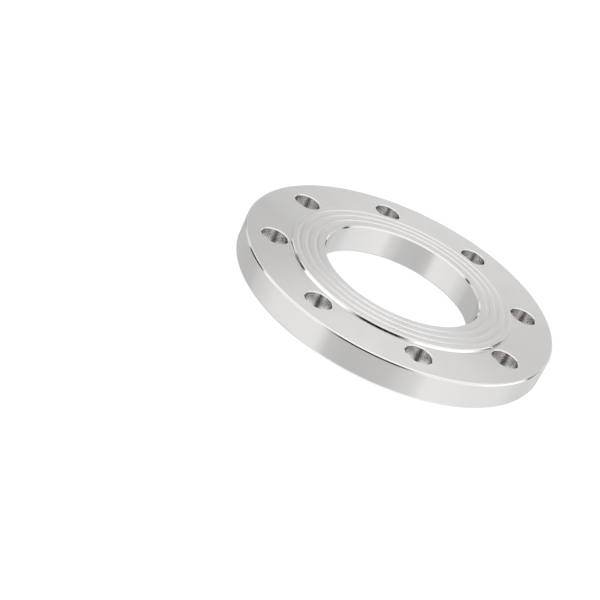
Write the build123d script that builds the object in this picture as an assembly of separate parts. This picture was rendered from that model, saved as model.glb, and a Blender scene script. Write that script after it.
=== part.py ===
from build123d import *
import os

# Pipe flange: one turned ring of stainless plate with a raised sealing face, drilled for bolts.
# All sizes are in millimetres. The flange lies on its back face, which is at Z = 0, and its
# axis is +Z, towards the raised face. The origin is the centre of the bore at the back face.
# The sizes build outwards from the pipe: bore, sealing face, bolt holes, rim.

# Bore: the pipe is slipped through and welded on both sides
pipe_diameter = 108.0
pipe_clearance = 1.0
bore_chamfer = 1.0

# Raised sealing face, which rings the bore
sealing_face_width = 24.0
raised_face_height = 2.0
raised_face_chamfer = 0.4

# Gasket grooves: shallow rings turned into the sealing face with a round-nosed tool. They are
# counted inwards from the rim of the face, and there are as many as its width has room for.
groove_nose_radius = 4.5
groove_depth = 0.3
groove_pitch = 6.0
groove_outer_land = 5.3
groove_inner_land = 6.0

# Bolt holes: the gasket inside them needs a gap to each hole, and none of the holes lies on the
# X or Y axis, so that they straddle the centre lines
bolt_hole_diameter = 18.0
bolt_hole_chamfer = 0.6
bolt_hole_count = 8
raised_face_to_hole = 2.0

# Plate: its rim is broken by a steep chamfer, taller than it is wide
hole_to_rim = 11.0
plate_thickness = 19.0
rim_chamfer_width = 0.6
rim_chamfer_height = 1.2

bolt_hole_radius = bolt_hole_diameter / 2
bore_radius = pipe_diameter / 2 + pipe_clearance
raised_face_radius = bore_radius + sealing_face_width
bolt_circle_radius = raised_face_radius + raised_face_to_hole + bolt_hole_radius
outer_radius = bolt_circle_radius + bolt_hole_radius + hole_to_rim
overall_thickness = plate_thickness + raised_face_height
first_bolt_angle = 180.0 / bolt_hole_count


def groove_radii():
    """Centre radii of the gasket grooves, from the outermost inwards."""
    outermost = raised_face_radius - groove_outer_land
    room = outermost - (bore_radius + groove_inner_land)
    count = int(room // groove_pitch) + 1
    return [outermost - i * groove_pitch for i in range(count)]


def ring_section():
    """Half section of the ring in the XZ plane, with X as the radius."""
    corners = {
        "bore_back": (bore_radius, 0),
        "back_edge": (outer_radius - rim_chamfer_width, 0),
        "rim_back": (outer_radius, rim_chamfer_height),
        "rim_front": (outer_radius, plate_thickness - rim_chamfer_height),
        "plate_edge": (outer_radius - rim_chamfer_width, plate_thickness),
        "face_root": (raised_face_radius, plate_thickness),
        "face_edge": (raised_face_radius, overall_thickness),
        "bore_front": (bore_radius, overall_thickness),
    }
    with BuildSketch(Plane.XZ) as section:
        with BuildLine():
            Polyline(*corners.values(), close=True)
        make_face()

        def at(*names):
            return [section.vertices().sort_by_distance(corners[name])[0] for name in names]

        chamfer(at("bore_back", "bore_front"), bore_chamfer)
        chamfer(at("face_edge"), raised_face_chamfer)
        nose_height = overall_thickness + groove_nose_radius - groove_depth
        with Locations(*[(radius, nose_height) for radius in groove_radii()]):
            Circle(groove_nose_radius, mode=Mode.SUBTRACT)
    return section.sketch


def bolt_hole_edges(part):
    """The rim of each bolt hole at both faces."""
    circles = part.edges().filter_by(GeomType.CIRCLE)
    return circles.filter_by(lambda edge: abs(edge.radius - bolt_hole_radius) < 1e-6)


def make_flange():
    """The whole flange: the turned ring, then its drilled and chamfered bolt holes."""
    with BuildPart() as flange:
        add(ring_section())
        revolve(axis=Axis.Z)
        with PolarLocations(bolt_circle_radius, bolt_hole_count, start_angle=first_bolt_angle):
            Cylinder(
                bolt_hole_radius,
                plate_thickness,
                align=(Align.CENTER, Align.CENTER, Align.MIN),
                mode=Mode.SUBTRACT,
            )
        chamfer(bolt_hole_edges(flange.part), bolt_hole_chamfer)
    return flange.part


os.makedirs("parts", exist_ok=True)
export_step(make_flange(), "parts/flange.step")
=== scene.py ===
"""Studio scene of the pipe flange: the turned ring with its finishes, the floor, the light and the camera.

Lengths are in metres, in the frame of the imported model: the flange lies on its back face at Z = 0 and its
axis is +Z, towards the raised sealing face.
"""

from __future__ import annotations

import logging
import math
from dataclasses import dataclass
from enum import Enum

import bmesh
import bpy
import numpy as np
from mathutils import Matrix, Vector

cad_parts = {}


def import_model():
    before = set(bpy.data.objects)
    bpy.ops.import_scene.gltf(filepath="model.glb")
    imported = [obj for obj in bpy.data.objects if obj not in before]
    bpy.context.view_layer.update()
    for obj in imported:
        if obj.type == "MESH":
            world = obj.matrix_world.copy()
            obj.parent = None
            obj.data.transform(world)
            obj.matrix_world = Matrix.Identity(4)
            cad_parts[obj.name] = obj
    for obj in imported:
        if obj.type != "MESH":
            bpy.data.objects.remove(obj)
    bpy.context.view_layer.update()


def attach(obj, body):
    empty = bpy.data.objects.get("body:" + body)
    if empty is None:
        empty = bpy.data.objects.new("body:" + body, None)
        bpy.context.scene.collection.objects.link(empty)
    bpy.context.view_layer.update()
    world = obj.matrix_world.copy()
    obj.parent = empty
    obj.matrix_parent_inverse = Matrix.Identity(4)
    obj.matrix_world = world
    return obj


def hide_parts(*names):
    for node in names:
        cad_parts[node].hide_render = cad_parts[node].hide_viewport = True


LOG = logging.getLogger("pipe_flange")
MM = 0.001
WHITE = (1.0, 1.0, 1.0, 1.0)
MERGE_DISTANCE = 0.002 * MM
WAVE_PHASE = 20.0  # the wave texture's phase for each unit of length, at a scale of 1
QUARTER_TURN = 0.25


class Lay(Enum):
    """How the tool marks of a cut run."""

    RINGS = "RINGS"
    BANDS = "BANDS"


class Sampling(Enum):
    """How the light of a glowing surface is found: aimed at like a lamp's, or met by chance."""

    LAMP = "AUTO"
    CHANCE = "NONE"


class Zone(Enum):
    """The machined surfaces of the flange, in the order of its material slots."""

    PLATE_FACE = 0
    SEALING_FACE = 1
    RIM = 2
    BORE = 3
    BOLT_HOLE = 4
    EDGE = 5


@dataclass(frozen=True)
class TurnedFinish:
    """Bright stainless steel with the feed marks of one cut.

    The marks are `feed` apart and `mark_height` deep, and waver a little. A slow cloud varies the roughness
    and the tone by their spreads, either way.
    """

    name: str
    colour: tuple[float, float, float]
    roughness: float
    anisotropy: float
    lay: Lay
    feed: float
    mark_height: float
    mark_waver: float = 0.4
    mark_detail: float = 1.0
    mark_detail_scale: float = 0.02
    cloud_scale: float = 45.0
    cloud_detail: float = 3.0
    cloud_range: tuple[float, float] = (0.3, 0.7)
    roughness_spread: float = 0.12
    tone_spread: float = 0.015

    def make(self) -> bpy.types.Material:
        """Builds the material, which is blurred across its tool marks.

        Returns:
            The material.
        """
        material = bpy.data.materials.new(self.name)
        material.use_nodes = True
        tree = material.node_tree
        steel = tree.nodes["Principled BSDF"]
        steel.inputs["Metallic"].default_value = 1.0
        steel.inputs["Anisotropic"].default_value = self.anisotropy
        steel.inputs["Anisotropic Rotation"].default_value = QUARTER_TURN
        tangent = tree.nodes.new("ShaderNodeTangent")
        tangent.direction_type = "RADIAL"
        tangent.axis = "Z"
        tree.links.new(tangent.outputs["Tangent"], steel.inputs["Tangent"])
        place = tree.nodes.new("ShaderNodeTexCoord").outputs["Object"]
        self.add_marks(tree, place, steel)
        self.add_cloud(tree, place, steel)
        return material

    def add_marks(self, tree: bpy.types.NodeTree, place: bpy.types.NodeSocket, steel: bpy.types.Node) -> None:
        """Adds the feed marks as a bump.

        They are a sine of the distance from the axis (rings) or of the height (bands), one wave a feed.

        Args:
            tree: The material's node tree.
            place: The socket with the object coordinates.
            steel: The shader.
        """
        marks = tree.nodes.new("ShaderNodeTexWave")
        marks.wave_type = self.lay.value
        if self.lay is Lay.RINGS:
            marks.rings_direction = "Z"
        else:
            marks.bands_direction = "Z"
        marks.inputs["Scale"].default_value = 2 * math.pi / (WAVE_PHASE * self.feed)
        marks.inputs["Distortion"].default_value = self.mark_waver
        marks.inputs["Detail"].default_value = self.mark_detail
        marks.inputs["Detail Scale"].default_value = self.mark_detail_scale
        tree.links.new(place, marks.inputs["Vector"])
        bump = tree.nodes.new("ShaderNodeBump")
        bump.inputs["Distance"].default_value = self.mark_height
        tree.links.new(marks.outputs["Fac"], bump.inputs["Height"])
        tree.links.new(bump.outputs["Normal"], steel.inputs["Normal"])

    def add_cloud(self, tree: bpy.types.NodeTree, place: bpy.types.NodeSocket, steel: bpy.types.Node) -> None:
        """Adds a slow noise that varies the roughness and the tone by a few parts in a hundred.

        Args:
            tree: The material's node tree.
            place: The socket with the object coordinates.
            steel: The shader.
        """
        cloud = tree.nodes.new("ShaderNodeTexNoise")
        cloud.inputs["Scale"].default_value = self.cloud_scale
        cloud.inputs["Detail"].default_value = self.cloud_detail
        tree.links.new(place, cloud.inputs["Vector"])
        rough = tree.nodes.new("ShaderNodeMapRange")
        rough.inputs["From Min"].default_value, rough.inputs["From Max"].default_value = self.cloud_range
        rough.inputs["To Min"].default_value = self.roughness * (1 - self.roughness_spread)
        rough.inputs["To Max"].default_value = self.roughness * (1 + self.roughness_spread)
        tree.links.new(cloud.outputs["Fac"], rough.inputs["Value"])
        tree.links.new(rough.outputs["Result"], steel.inputs["Roughness"])
        tone = tree.nodes.new("ShaderNodeMix")
        tone.data_type = "RGBA"
        tone.inputs["A"].default_value = (*(c * (1 - self.tone_spread) for c in self.colour), 1.0)
        tone.inputs["B"].default_value = (*(c * (1 + self.tone_spread) for c in self.colour), 1.0)
        tree.links.new(cloud.outputs["Fac"], tone.inputs["Factor"])
        tree.links.new(tone.outputs["Result"], steel.inputs["Base Color"])


@dataclass(frozen=True)
class Finishes:
    """The finish of each machined surface."""

    steel: tuple[float, float, float] = (0.68, 0.672, 0.663)
    rim_steel: tuple[float, float, float] = (0.73, 0.722, 0.707)
    drilled_steel: tuple[float, float, float] = (0.74, 0.72, 0.70)
    # lighter than the faces' steel, a painted highlight along every chamfer and rounding; the edges' smoother
    # finish is their lower roughness
    edge_steel_painted_highlight: tuple[float, float, float] = (0.85, 0.845, 0.835)

    def materials(self) -> list[bpy.types.Material]:
        """Makes the materials.

        Returns:
            The materials, in the order of the zones.
        """
        face, rim, drilled, bright = self.steel, self.rim_steel, self.drilled_steel, self.edge_steel_painted_highlight
        rings, bands = Lay.RINGS, Lay.BANDS
        cuts = {
            Zone.PLATE_FACE: TurnedFinish("turned_plate", face, 0.24, 0.75, rings, 0.30 * MM, 0.0004 * MM),
            Zone.SEALING_FACE: TurnedFinish("turned_seal", face, 0.25, 0.7, rings, 0.40 * MM, 0.0006 * MM),
            Zone.RIM: TurnedFinish("turned_rim", rim, 0.17, 0.5, bands, 0.30 * MM, 0.0004 * MM),
            Zone.BORE: TurnedFinish("turned_bore", rim, 0.19, 0.5, bands, 0.40 * MM, 0.0006 * MM),
            Zone.BOLT_HOLE: TurnedFinish("drilled_hole", drilled, 0.22, 0.3, bands, 0.35 * MM, 0.0008 * MM),
            # the edges take the lighter steel, a painted highlight, with the lowest roughness
            Zone.EDGE: TurnedFinish("turned_edge", bright, 0.12, 0.0, rings, 0.25 * MM, 0.0002 * MM),
        }
        return [cuts[zone].make() for zone in Zone]


@dataclass(frozen=True)
class Strip:
    """A grid of points that belongs to one run of the section, with the zone of each of its bands."""

    points: np.ndarray
    zones: np.ndarray


def polar(radius: np.ndarray | float, azimuth: np.ndarray | float) -> np.ndarray:
    """The points (r cos a, r sin a), with both coordinates on the last axis."""
    return np.stack([radius * np.cos(azimuth), radius * np.sin(azimuth)], axis=-1)


def raised(flat: np.ndarray, heights: np.ndarray) -> np.ndarray:
    """Gives each row of flat points its height."""
    return np.concatenate([flat, np.broadcast_to(heights[:, None, None], (*flat.shape[:2], 1))], axis=2)


def rounded_path(
    corners: np.ndarray, zones: tuple[Zone, ...], radii: tuple[float, ...], steps: int, hold: float
) -> tuple[np.ndarray, np.ndarray]:
    """Rounds the corners of a path.

    A corner P is cut back by radius * tan(turn / 2) along both of its legs, to A and B. The points between
    are (1 - s)^2 A + 2 s (1 - s) P + s^2 B, for s from 0 to 1. One more point lies `hold` outside A and
    B, which keeps the flats beside the corner flat.

    Args:
        corners: The path's points, one row each, ends included.
        zones: The zone of each leg.
        radii: The rounding at each inner corner.
        steps: How many spans a rounding has.
        hold: Distance of the holding points.

    Returns:
        The path's points, and the zone of each of its spans, which is an edge's in a rounding.
    """
    inner = corners[1:-1]
    back = corners[:-2] - inner
    ahead = corners[2:] - inner
    back /= np.linalg.norm(back, axis=1, keepdims=True)
    ahead /= np.linalg.norm(ahead, axis=1, keepdims=True)
    turn = np.pi - np.arccos(np.clip((back * ahead).sum(axis=1), -1, 1))
    cut = (np.array(radii) * np.tan(turn / 2))[:, None]
    s = np.linspace(0, 1, steps + 1)[None, :, None]
    start, end = inner + back * cut, inner + ahead * cut
    arc = (1 - s) ** 2 * start[:, None] + 2 * s * (1 - s) * inner[:, None] + s**2 * end[:, None]
    before, after = (start + back * hold)[:, None], (end + ahead * hold)[:, None]
    rounded = np.concatenate([before, arc, after], axis=1).reshape(-1, 2)
    points = np.concatenate([corners[:1], rounded, corners[-1:]])
    legs = np.arange(len(inner))[:, None]
    rounding = len(zones)
    spans = np.full((len(inner), steps + 2), rounding)
    spans[:, :1] = legs
    spans[:, -1:] = legs + 1
    joined = np.concatenate([spans, legs + 1], axis=1).reshape(-1)
    return points, np.array([*zones, Zone.EDGE])[np.concatenate([[0], joined])]


@dataclass(frozen=True)
class Flange:
    """The turned ring with its raised sealing face, gasket grooves, bore and bolt holes.

    The step's wall leans, with its foot `step_lean` outside `face_radius` and its head as far inside. The
    roundings belong to the corners of each section, in the order in which the section runs. `land_point` is
    how far from the outer groove and from the bore the flat lands have a point, and `hold` how far from a
    curve, to keep them flat. The plate's patches round the bolt holes end `patch_margin` from the step and
    from the rim's chamfer, and leave a ring of `hole_ring` round each hole's chamfer.
    """

    outer_radius: float = 110.0 * MM
    bore_radius: float = 55.0 * MM
    plate_thickness: float = 19.0 * MM
    face_radius: float = 79.0 * MM
    face_height: float = 2.0 * MM
    step_lean: float = 0.26 * MM
    step_bevel: float = 0.4 * MM
    step_bevel_height: float = 0.6 * MM
    step_roundings: tuple[float, ...] = (0.03 * MM, 0.15 * MM, 0.3 * MM)
    bore_chamfer: float = 1.0 * MM
    bore_roundings: tuple[float, ...] = (0.15 * MM,) * 4
    rim_chamfer: float = 0.6 * MM
    rim_chamfer_height: float = 1.2 * MM
    rim_roundings: tuple[float, ...] = (0.9 * MM, 0.2 * MM, 0.2 * MM, 0.6 * MM)
    groove_radii: tuple[float, ...] = (73.7 * MM, 67.7 * MM, 61.7 * MM)
    groove_nose: float = 4.5 * MM
    groove_depth: float = 0.3 * MM
    groove_spans: int = 12
    land_point: float = 4.0 * MM
    hole_circle: float = 90.0 * MM
    hole_radius: float = 9.0 * MM
    hole_chamfer: float = 0.6 * MM
    hole_roundings: tuple[float, ...] = (0.15 * MM,) * 4
    hole_ring: float = 0.15 * MM
    hole_count: int = 8
    patch_margin: float = 0.9 * MM
    hold: float = 0.03 * MM
    section_steps: int = 4
    rim_steps: int = 8
    hole_steps: int = 3
    arc_steps: int = 56
    side_steps: int = 14
    finishes: Finishes = Finishes()

    @property
    def top(self) -> float:
        """Height of the sealing face."""
        return self.plate_thickness + self.face_height

    @property
    def patch_inner(self) -> float:
        """Radius at which the flat patches round the bolt holes begin."""
        return self.face_radius + self.patch_margin

    @property
    def patch_outer(self) -> float:
        """Radius at which the flat patches round the bolt holes end."""
        return self.outer_radius - self.rim_chamfer - self.patch_margin

    def groove(self, radius: float) -> np.ndarray:
        """Section of one gasket groove.

        The points are (radius - R sin a, top - depth + R (1 - cos a)) for a from -w to w, where R is the nose
        of the tool and cos w = 1 - depth / R.

        Args:
            radius: The groove's centre radius.

        Returns:
            The points, from the outer lip to the inner one.
        """
        nose = self.groove_nose
        width = math.acos(1 - self.groove_depth / nose)
        a = np.linspace(-width, width, self.groove_spans + 1)
        heights = self.top - self.groove_depth + nose * (1 - np.cos(a))
        return np.stack([radius - nose * np.sin(a), heights], axis=1)

    def sealing_section(self) -> tuple[np.ndarray, np.ndarray]:
        """Section from the plate's face up the step, across the grooves, down the bore and along the back.

        Returns:
            The points, and the zone of each span between them.
        """
        step = np.array([
            (self.patch_inner, self.plate_thickness),
            (self.face_radius + self.step_lean, self.plate_thickness),
            (self.face_radius - self.step_lean, self.top - self.step_bevel_height),
            (self.face_radius - self.step_lean - self.step_bevel, self.top),
            (self.groove_radii[0] + self.land_point, self.top),
        ])
        zones = (Zone.PLATE_FACE, Zone.EDGE, Zone.EDGE, Zone.SEALING_FACE)
        step_points, step_zones = rounded_path(
            step, zones, self.step_roundings, self.section_steps, self.hold
        )
        lip = np.array([[self.hold, 0.0]])
        grooves = []
        for radius in self.groove_radii:
            arc = self.groove(radius)
            grooves += [arc[:1] + lip, arc, arc[-1:] - lip]
        groove_points = np.concatenate(grooves)
        groove_zones = np.full(len(groove_points) + 1, Zone.SEALING_FACE)
        cut = self.bore_chamfer
        bore = np.array([
            (self.bore_radius + self.land_point, self.top),
            (self.bore_radius + cut, self.top),
            (self.bore_radius, self.top - cut),
            (self.bore_radius, cut),
            (self.bore_radius + cut, 0.0),
            (self.patch_inner, 0.0),
        ])
        zones = (Zone.SEALING_FACE, Zone.EDGE, Zone.BORE, Zone.EDGE, Zone.PLATE_FACE)
        bore_points, bore_zones = rounded_path(
            bore, zones, self.bore_roundings, self.section_steps, self.hold
        )
        points = np.concatenate([step_points, groove_points, bore_points])
        return points, np.concatenate([step_zones, groove_zones, bore_zones])

    def rim_section(self) -> tuple[np.ndarray, np.ndarray]:
        """Section from the plate's face over the rim to the flat back face.

        Returns:
            The points, and the zone of each span between them.
        """
        cut, down = self.rim_chamfer, self.rim_chamfer_height
        corners = np.array([
            (self.patch_outer, self.plate_thickness),
            (self.outer_radius - cut, self.plate_thickness),
            (self.outer_radius, self.plate_thickness - down),
            (self.outer_radius, down),
            (self.outer_radius - cut, 0.0),
            (self.patch_outer, 0.0),
        ])
        zones = (Zone.PLATE_FACE, Zone.EDGE, Zone.RIM, Zone.EDGE, Zone.PLATE_FACE)
        return rounded_path(corners, zones, self.rim_roundings, self.rim_steps, self.hold)

    def hole_section(self) -> tuple[np.ndarray, np.ndarray]:
        """Section down a bolt hole, measured from the hole's own axis.

        Returns:
            The points, and the zone of each span between them.
        """
        cut = self.hole_chamfer
        outer = self.hole_radius + cut + self.hole_ring
        corners = np.array([
            (outer, self.plate_thickness),
            (self.hole_radius + cut, self.plate_thickness),
            (self.hole_radius, self.plate_thickness - cut),
            (self.hole_radius, cut),
            (self.hole_radius + cut, 0.0),
            (outer, 0.0),
        ])
        zones = (Zone.PLATE_FACE, Zone.EDGE, Zone.BOLT_HOLE, Zone.EDGE, Zone.PLATE_FACE)
        return rounded_path(corners, zones, self.hole_roundings, self.hole_steps, self.hold)

    def turned(self, section: np.ndarray, zones: np.ndarray) -> Strip:
        """Carries a section round the axis.

        Each of its points (r, z) goes to (r cos a, r sin a, z) for every angle a.

        Args:
            section: The section's points.
            zones: The zone of each span of the section.

        Returns:
            The strip, with its last column on its first.
        """
        a = np.linspace(0, 2 * np.pi, self.hole_count * self.arc_steps + 1)
        return Strip(raised(polar(section[:, :1], a), section[:, 1]), zones)

    def hole_centres(self) -> np.ndarray:
        """Centres of the bolt holes, which straddle the X and Y axes."""
        a = (np.arange(self.hole_count) + 0.5) * 2 * np.pi / self.hole_count
        return polar(self.hole_circle, a)

    def sector_outline(self) -> np.ndarray:
        """Outline of one bolt hole's share of the plate.

        Returns:
            The points of its inner arc, far side, outer arc and near side, closed.
        """
        wide = 2 * np.pi / self.hole_count
        a = np.linspace(0, wide, self.arc_steps + 1)
        r = np.linspace(self.patch_inner, self.patch_outer, self.side_steps + 1)
        inner, far = polar(self.patch_inner, a), polar(r, wide)
        outer, near = polar(self.patch_outer, a[::-1]), polar(r[::-1], 0.0)
        return np.concatenate([inner[:-1], far[:-1], outer[:-1], near])

    def hole_strips(self) -> list[Strip]:
        """Plate faces and walls round the bolt holes, as one strip a hole.

        A ray from the hole's centre C to each point B of the sector's outline meets a circle of radius r at
        C + r (B - C) / |B - C|. The strip's rows are the outline, a row half of the way in, the hole's
        section turned about C, and the same two rows on the back face. The other strips are the first one
        turned about Z, by equal steps.

        Returns:
            One strip for each hole.
        """
        centre = self.hole_centres()[0]
        out = self.sector_outline() - centre
        reach = np.linalg.norm(out, axis=1)
        rays = out / reach[:, None]
        section, zones = self.hole_section()
        start = section[0, 0]
        share = np.array([1.0, 0.5])[:, None]
        radii = np.concatenate([
            start + (reach - start) * share,
            np.broadcast_to(section[:, :1], (len(section), len(reach))),
            start + (reach - start) * share[::-1],
        ])
        heights = np.concatenate([np.full(2, self.plate_thickness), section[:, 1], np.zeros(2)])
        points = raised(centre + radii[:, :, None] * rays, heights)
        face = np.full(2, Zone.PLATE_FACE)
        zones = np.concatenate([face, zones, face])
        turns = np.arange(self.hole_count) * 2 * np.pi / self.hole_count
        about = np.zeros((self.hole_count, 3, 3))
        about[:, 0, 0] = about[:, 1, 1] = np.cos(turns)
        about[:, 0, 1] = -np.sin(turns)
        about[:, 1, 0] = np.sin(turns)
        about[:, 2, 2] = 1.0
        turned = np.einsum("hij,nmj->hnmi", about, points)
        return [Strip(grid, zones) for grid in turned]

    def build(self) -> bpy.types.Object:
        """Builds the flange as one closed mesh.

        Returns:
            The flange's object, at the origin.
        """
        strips = [self.turned(*self.sealing_section()), self.turned(*self.rim_section()), *self.hole_strips()]
        mesh = closed_mesh("flange_turned", strips)
        for material in self.finishes.materials():
            mesh.materials.append(material)
        piece = bpy.data.objects.new("flange_turned", mesh)
        bpy.context.scene.collection.objects.link(piece)
        return piece


def grid_mesh(name: str, strips: list[Strip]) -> bpy.types.Mesh:
    """Makes a mesh of strips.

    The face between rows i, i + 1 and columns j, j + 1 has the corners (i, j), (i, j + 1), (i + 1, j + 1) and
    (i + 1, j).

    Args:
        name: The mesh's name.
        strips: The strips.

    Returns:
        The mesh.
    """
    points, corners, slots = [], [], []
    first = 0
    for strip in strips:
        rows, columns = strip.points.shape[:2]
        numbers = first + np.arange(rows * columns).reshape(rows, columns)
        quads = np.stack([numbers[:-1, :-1], numbers[:-1, 1:], numbers[1:, 1:], numbers[1:, :-1]], axis=2)
        points.append(strip.points.reshape(-1, 3))
        corners.append(quads.reshape(-1, 4))
        slots.append(np.repeat([zone.value for zone in strip.zones], columns - 1))
        first += rows * columns
    all_points, all_corners = np.concatenate(points), np.concatenate(corners)
    mesh = bpy.data.meshes.new(name)
    mesh.vertices.add(len(all_points))
    mesh.vertices.foreach_set("co", all_points.astype(np.float32).ravel())
    mesh.loops.add(all_corners.size)
    mesh.loops.foreach_set("vertex_index", all_corners.astype(np.int32).ravel())
    mesh.polygons.add(len(all_corners))
    mesh.polygons.foreach_set("loop_start", np.arange(0, all_corners.size, 4, dtype=np.int32))
    mesh.polygons.foreach_set("material_index", np.concatenate(slots).astype(np.int32))
    mesh.update(calc_edges=True)
    return mesh


def closed_mesh(name: str, strips: list[Strip]) -> bpy.types.Mesh:
    """Joins strips into one closed, smooth mesh with its faces pointing outwards.

    Points of neighbouring strips that lie on each other are merged.

    Args:
        name: The mesh's name.
        strips: The strips.

    Returns:
        The mesh.
    """
    mesh = grid_mesh(name, strips)
    shell = bmesh.new()
    shell.from_mesh(mesh)
    bmesh.ops.remove_doubles(shell, verts=shell.verts, dist=MERGE_DISTANCE)
    bmesh.ops.recalc_face_normals(shell, faces=shell.faces)
    shell.to_mesh(mesh)
    open_edges = sum(not edge.is_manifold for edge in shell.edges)
    shell.free()
    mesh.shade_smooth()
    LOG.info("%s: %d faces, %d open edges", name, len(mesh.polygons), open_edges)
    return mesh


def eased(table: dict[float, float], x: np.ndarray) -> np.ndarray:
    """Looks a value up between the entries of a table.

    Between neighbours (x0, v0) and (x1, v1) the value is v0 + (v1 - v0) t^2 (3 - 2 t), with
    t = (x - x0) / (x1 - x0).

    Args:
        table: The values by place.
        x: The places to look up.

    Returns:
        The values.
    """
    places, values = np.array(sorted(table.items())).T
    n = np.clip(np.searchsorted(places, x) - 1, 0, len(places) - 2)
    t = np.clip((x - places[n]) / (places[n + 1] - places[n]), 0, 1)
    return values[n] + (values[n + 1] - values[n]) * t**2 * (3 - 2 * t)


def ramp(start: float, full: float, x: np.ndarray) -> np.ndarray:
    """Eases from 0 at `start` to 1 at `full`, whichever of them is greater."""
    return eased({start: 0.0, full: 1.0}, x)


def glowing(
    name: str, sheets: list[np.ndarray], levels: list[np.ndarray], sampling: Sampling
) -> bpy.types.Object:
    """Builds a stage surface that glows with a level of its own at each point.

    The camera doesn't see it.

    Args:
        name: The object's name.
        sheets: Grids of points.
        levels: The level at each point of each grid.
        sampling: How its light is found. Chance is quicker when it is large.

    Returns:
        The surface's object.
    """
    mesh = grid_mesh(name, [Strip(sheet, np.full(len(sheet) - 1, Zone.PLATE_FACE)) for sheet in sheets])
    level = mesh.attributes.new("level", "FLOAT", "POINT")
    level.data.foreach_set("value", np.concatenate([part.ravel() for part in levels]).astype(np.float32))
    material = bpy.data.materials.new(name)
    material.use_nodes = True
    tree = material.node_tree
    tree.nodes.clear()
    read = tree.nodes.new("ShaderNodeAttribute")
    read.attribute_name = "level"
    glow = tree.nodes.new("ShaderNodeEmission")
    tree.links.new(read.outputs["Fac"], glow.inputs["Strength"])
    out = tree.nodes.new("ShaderNodeOutputMaterial")
    tree.links.new(glow.outputs["Emission"], out.inputs["Surface"])
    material.cycles.emission_sampling = sampling.value
    mesh.materials.append(material)
    surface = bpy.data.objects.new(name, mesh)
    surface.visible_camera = False
    bpy.context.scene.collection.objects.link(surface)
    return surface


def mirrored_only(surface: bpy.types.Object) -> bpy.types.Object:
    """Hides a surface from diffuse and shadow rays, which leaves it to the mirrors."""
    surface.visible_diffuse = surface.visible_shadow = False
    return surface


@dataclass(frozen=True)
class Panel:
    """A soft box or a dark flag in the tent, centred on an azimuth, between two elevations, in degrees."""

    centre: float
    half_width: float
    low: float
    high: float
    level: float
    soft: float = 3.0

    def share(self, azimuth: np.ndarray, elevation: np.ndarray) -> np.ndarray:
        """How much of the panel shows at each direction: 1 inside, eased to 0 over `soft` degrees outside.

        Args:
            azimuth: The directions' azimuths.
            elevation: Their elevations.

        Returns:
            The shares.
        """
        soft = self.soft
        away = np.abs((azimuth - self.centre + 180) % 360 - 180)
        up = {self.low - soft: 0.0, self.low: 1.0, self.high: 1.0, self.high + soft: 0.0}
        return ramp(self.half_width + soft, self.half_width, away) * eased(up, elevation)


@dataclass(frozen=True)
class LightTent:
    """The light tent all round the part, above and below the glass table, with the soft boxes behind it.

    Each band of levels takes over from the one below it between the two elevations of its rise, in degrees.
    """

    radius: float = 2.5
    lowest: float = -75.0
    highest: float = 75.0
    rows: int = 151
    columns: int = 481
    beside_rise: tuple[float, float] = (-2.0, 2.0)
    above_rise: tuple[float, float] = (8.0, 14.0)
    overhead_rise: tuple[float, float] = (36.0, 54.0)
    overhead: float = 1.05
    panels: tuple[Panel, ...] = (
        Panel(91, 13, 40, 60, 1.47, 8.0),
        Panel(132, 12, 34, 52, 0.95, 7.0),
        Panel(110, 46, 2, 17, 1.0),
        Panel(54, 10, 2, 17, 0.78),
        Panel(131, 10, -8, 7, 0.38, 5.0),
        Panel(39, 6, -3, 10, 0.03),
        Panel(175, 10, -3, 14, 0.03),
    )

    def below(self) -> dict[float, float]:
        """Level of the tent under the table by azimuth, in degrees."""
        return {
            -180: 0.83, -155: 1.02, -120: 1.06, -109: 0.71, -95: 0.67, -72: 0.70, -50: 0.87, -40: 1.08,
            15: 1.00, 45: 0.82, 60: 0.79, 80: 0.60, 110: 0.53, 130: 0.64, 168: 0.67, 180: 0.83,
        }

    def beside(self) -> dict[float, float]:
        """Level of the soft boxes' lower edge by azimuth, which the step and the rim's chamfer mirror."""
        return {
            -180: 1.2, -172: 1.35, -122: 1.35, -110: 1.0, -66: 1.0, -54: 1.35,
            25: 1.35, 40: 1.0, 165: 0.9, 180: 1.2,
        }

    def above(self) -> dict[float, float]:
        """Level of the soft boxes by azimuth, which the faces mirror."""
        return {
            -180: 1.0, -118: 1.0, -90: 0.9, -56: 1.0, 24: 1.0, 42: 0.72, 56: 0.68,
            70: 0.76, 80: 0.84, 94: 0.84, 108: 0.66, 132: 0.58, 146: 0.80, 180: 1.0,
        }

    def build(self) -> bpy.types.Object:
        """Builds the tent.

        The point at azimuth a and elevation e is R (cos a cos e, sin a cos e, sin e). The level eases from
        one band's to the next with the elevation, and the panels cover the bands.

        Returns:
            The tent's object.
        """
        up = np.linspace(self.lowest, self.highest, self.rows)
        around = np.linspace(-180, 180, self.columns)
        elevation, azimuth = np.meshgrid(up, around, indexing="ij")
        e, a = np.radians(elevation), np.radians(azimuth)
        way = np.stack([np.cos(a) * np.cos(e), np.sin(a) * np.cos(e), np.sin(e)], axis=2)
        level = eased(self.below(), azimuth)
        covers = [
            (eased(self.beside(), azimuth), ramp(*self.beside_rise, elevation)),
            (eased(self.above(), azimuth), ramp(*self.above_rise, elevation)),
            (self.overhead, ramp(*self.overhead_rise, elevation)),
            *((panel.level, panel.share(azimuth, elevation)) for panel in self.panels),
        ]
        for cover, share in covers:
            level = level * (1 - share) + cover * share
        return glowing("light_tent", [self.radius * way], [level], Sampling.CHANCE)


@dataclass(frozen=True)
class Card:
    """A small dark card near the part.

    It has a distance from the axis, the azimuth of its middle and half its width, both in degrees, and the
    heights of its foot and its head.
    """

    radius: float
    centre: float
    half_width: float
    low: float
    high: float


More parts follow.
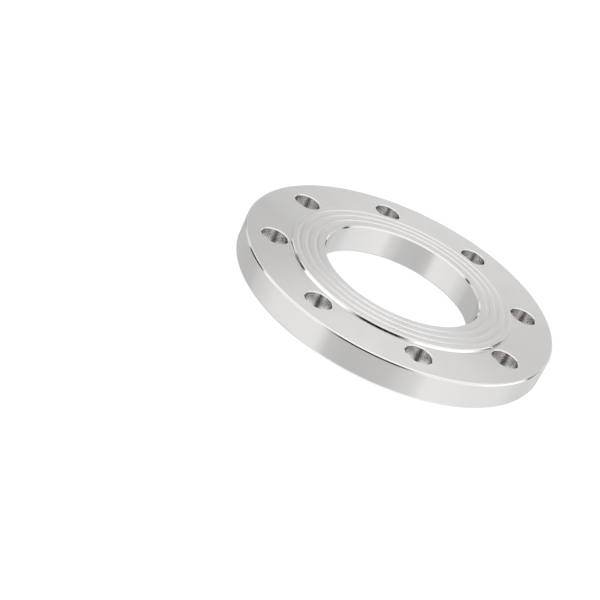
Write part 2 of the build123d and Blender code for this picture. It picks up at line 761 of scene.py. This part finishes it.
@dataclass(frozen=True)
class DarkCards:
    """Dark cards round the part, which put the black lines into its step and chamfers.

    A card is dark up to `dark_share` of its half width. From there its ends rise to the level of the tent.
    """

    dark: float = 0.01
    end_level: float = 1.0
    dark_share: float = 0.5
    columns: int = 17
    cards: tuple[Card, ...] = (
        Card(170 * MM, -85, 26, 28 * MM, 55 * MM),
        Card(170 * MM, 152, 7, 160 * MM, 205 * MM),
        Card(69 * MM, 81, 7, 55 * MM, 68 * MM),
    )

    def build(self) -> bpy.types.Object:
        """Builds the cards, which are bent round the axis: a card's points are (r cos a, r sin a, z).

        Returns:
            The cards' object.
        """
        across = np.linspace(-1, 1, self.columns)
        level = eased({self.dark_share: self.dark, 1.0: self.end_level}, np.abs(across))
        sheets = []
        for card in self.cards:
            arc = polar(card.radius, np.radians(card.centre + card.half_width * across))
            sheets.append(raised(np.stack([arc, arc]), np.array([card.low, card.high])))
        levels = [np.stack([level, level])] * len(sheets)
        return mirrored_only(glowing("dark_cards", sheets, levels, Sampling.CHANCE))


@dataclass(frozen=True)
class HoleFootPaintedShadeAndLight:
    """Painted shade and light at the foot of each bolt hole: glowing discs on the table that only the holes'
    walls mirror.

    A card's radius is `size` times the hole's. Its innermost row lies at the share `smallest` of it.
    """

    height: float = -0.04 * MM
    size: float = 1.05
    smallest: float = 0.02
    rows: int = 16
    columns: int = 61
    # painted shade in the middle of a hole's foot, and painted light at its sides
    dark: float = 0.05
    bright: float = 2.3
    side_rise: tuple[float, float] = (0.17, 0.75)
    rim_rise: tuple[float, float] = (0.97, 0.75)

    def build(self, flange: Flange) -> bpy.types.Object:
        """Builds the cards.

        A card has the points C + R r (cos a, sin a), where R is its radius and r runs up to 1. Its level,
        painted shade in the middle and painted light towards the boxes on both sides, rises with |r cos a|
        and falls off at its rim, with r.

        Args:
            flange: The flange they lie under.

        Returns:
            The cards' object.
        """
        outwards = np.linspace(self.smallest, 1, self.rows)
        around = np.linspace(0, 2 * np.pi, self.columns)
        r, a = np.meshgrid(outwards, around, indexing="ij")
        spread = polar(r, a) * self.size * flange.hole_radius
        share = ramp(*self.side_rise, np.abs(r * np.cos(a))) * ramp(*self.rim_rise, r)
        level = self.dark + (self.bright - self.dark) * share
        heights = np.full(self.rows, self.height)
        sheets = [raised(spread + centre, heights) for centre in flange.hole_centres()]
        return mirrored_only(glowing("hole_foot_painted_shade_and_light", sheets, [level] * len(sheets), Sampling.LAMP))


@dataclass(frozen=True)
class Floor:
    """White table that keeps a faint shadow. It is glass to the steel, which mirrors the tent through it."""

    half_size: float = 3.2
    height: float = -0.05 * MM
    colour: float = 0.26
    glow: float = 0.82

    def build(self) -> bpy.types.Object:
        """Builds the floor, with a diffuse part that takes the shadow and a glow that keeps it faint.

        Returns:
            The floor's object.
        """
        h, z = self.half_size, self.height
        mesh = bpy.data.meshes.new("floor")
        mesh.from_pydata([(-h, -h, z), (h, -h, z), (h, h, z), (-h, h, z)], [], [(0, 1, 2, 3)])
        material = bpy.data.materials.new("floor_white")
        material.use_nodes = True
        tree = material.node_tree
        tree.nodes.clear()
        diffuse = tree.nodes.new("ShaderNodeBsdfDiffuse")
        diffuse.inputs["Color"].default_value = (self.colour,) * 3 + (1.0,)
        glow = tree.nodes.new("ShaderNodeEmission")
        glow.inputs["Strength"].default_value = self.glow
        both = tree.nodes.new("ShaderNodeAddShader")
        out = tree.nodes.new("ShaderNodeOutputMaterial")
        tree.links.new(diffuse.outputs["BSDF"], both.inputs[0])
        tree.links.new(glow.outputs["Emission"], both.inputs[1])
        tree.links.new(both.outputs["Shader"], out.inputs["Surface"])
        mesh.materials.append(material)
        floor = bpy.data.objects.new("floor", mesh)
        floor.visible_glossy = False
        bpy.context.scene.collection.objects.link(floor)
        return floor


@dataclass(frozen=True)
class Studio:
    """White surroundings with a light tent, a floor, dark cards, and painted shade and light at the holes'
    feet.
    """

    tent: LightTent = LightTent()
    floor: Floor = Floor()
    dark_cards: DarkCards = DarkCards()
    hole_foot_painted_shade_and_light: HoleFootPaintedShadeAndLight = HoleFootPaintedShadeAndLight()

    def build(self, flange: Flange) -> list[bpy.types.Object]:
        """Builds the white world, and the stage surfaces in it.

        Args:
            flange: The flange on show.

        Returns:
            The stage surfaces.
        """
        world = bpy.data.worlds.new("studio")
        world.use_nodes = True
        world.node_tree.nodes["Background"].inputs["Color"].default_value = WHITE
        bpy.context.scene.world = world
        return [self.tent.build(), self.floor.build(), self.dark_cards.build(), self.hole_foot_painted_shade_and_light.build(flange)]


@dataclass(frozen=True)
class Camera:
    """The photograph's viewpoint, found from the rim, the bore, the grooves and the bolt holes."""

    aim: tuple[float, float, float] = (-0.04549, -0.07876, 0.0105)
    distance: float = 0.81196
    azimuth: float = -83.131
    elevation: float = 28.699
    roll: float = 25.075
    lens: float = 79.253
    sensor: float = 36.0
    nearest: float = 0.01

    def build(self) -> bpy.types.Object:
        """Builds the camera.

        With azimuth a and elevation e, the camera looks along -b from aim + distance * b, where
        b = (cos a cos e, sin a cos e, sin e). The level right-hand direction is (-sin a, cos a, 0), and the
        roll turns it about b.

        Returns:
            The camera's object.
        """
        a, e, roll = (math.radians(v) for v in (self.azimuth, self.elevation, self.roll))
        back = Vector((math.cos(a) * math.cos(e), math.sin(a) * math.cos(e), math.sin(e)))
        level = Vector((-math.sin(a), math.cos(a), 0.0))
        right = Matrix.Rotation(roll, 3, back) @ level
        turn = Matrix((right, back.cross(right), back)).transposed()
        data = bpy.data.cameras.new("photo_view")
        data.lens = self.lens
        data.sensor_width = self.sensor
        data.clip_start = self.nearest
        camera = bpy.data.objects.new("photo_view", data)
        camera.matrix_world = Matrix.Translation(Vector(self.aim) + back * self.distance) @ turn.to_4x4()
        bpy.context.scene.collection.objects.link(camera)
        bpy.context.scene.camera = camera
        return camera


def main() -> None:
    """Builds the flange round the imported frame, and the studio round the flange."""
    logging.basicConfig(level=logging.INFO, format="%(name)s: %(message)s")
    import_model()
    Camera().build()
    ring = Flange()
    for surface in Studio().build(ring):
        LOG.info("%s: stage", surface.name)
    flange = ring.build()
    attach(flange, "root")
    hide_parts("flange")
    LOG.info("%s rides on root and replaces the plain ring", flange.name)
    view = bpy.context.scene.view_settings
    view.view_transform = "Standard"


if __name__ == "__main__":
    main()
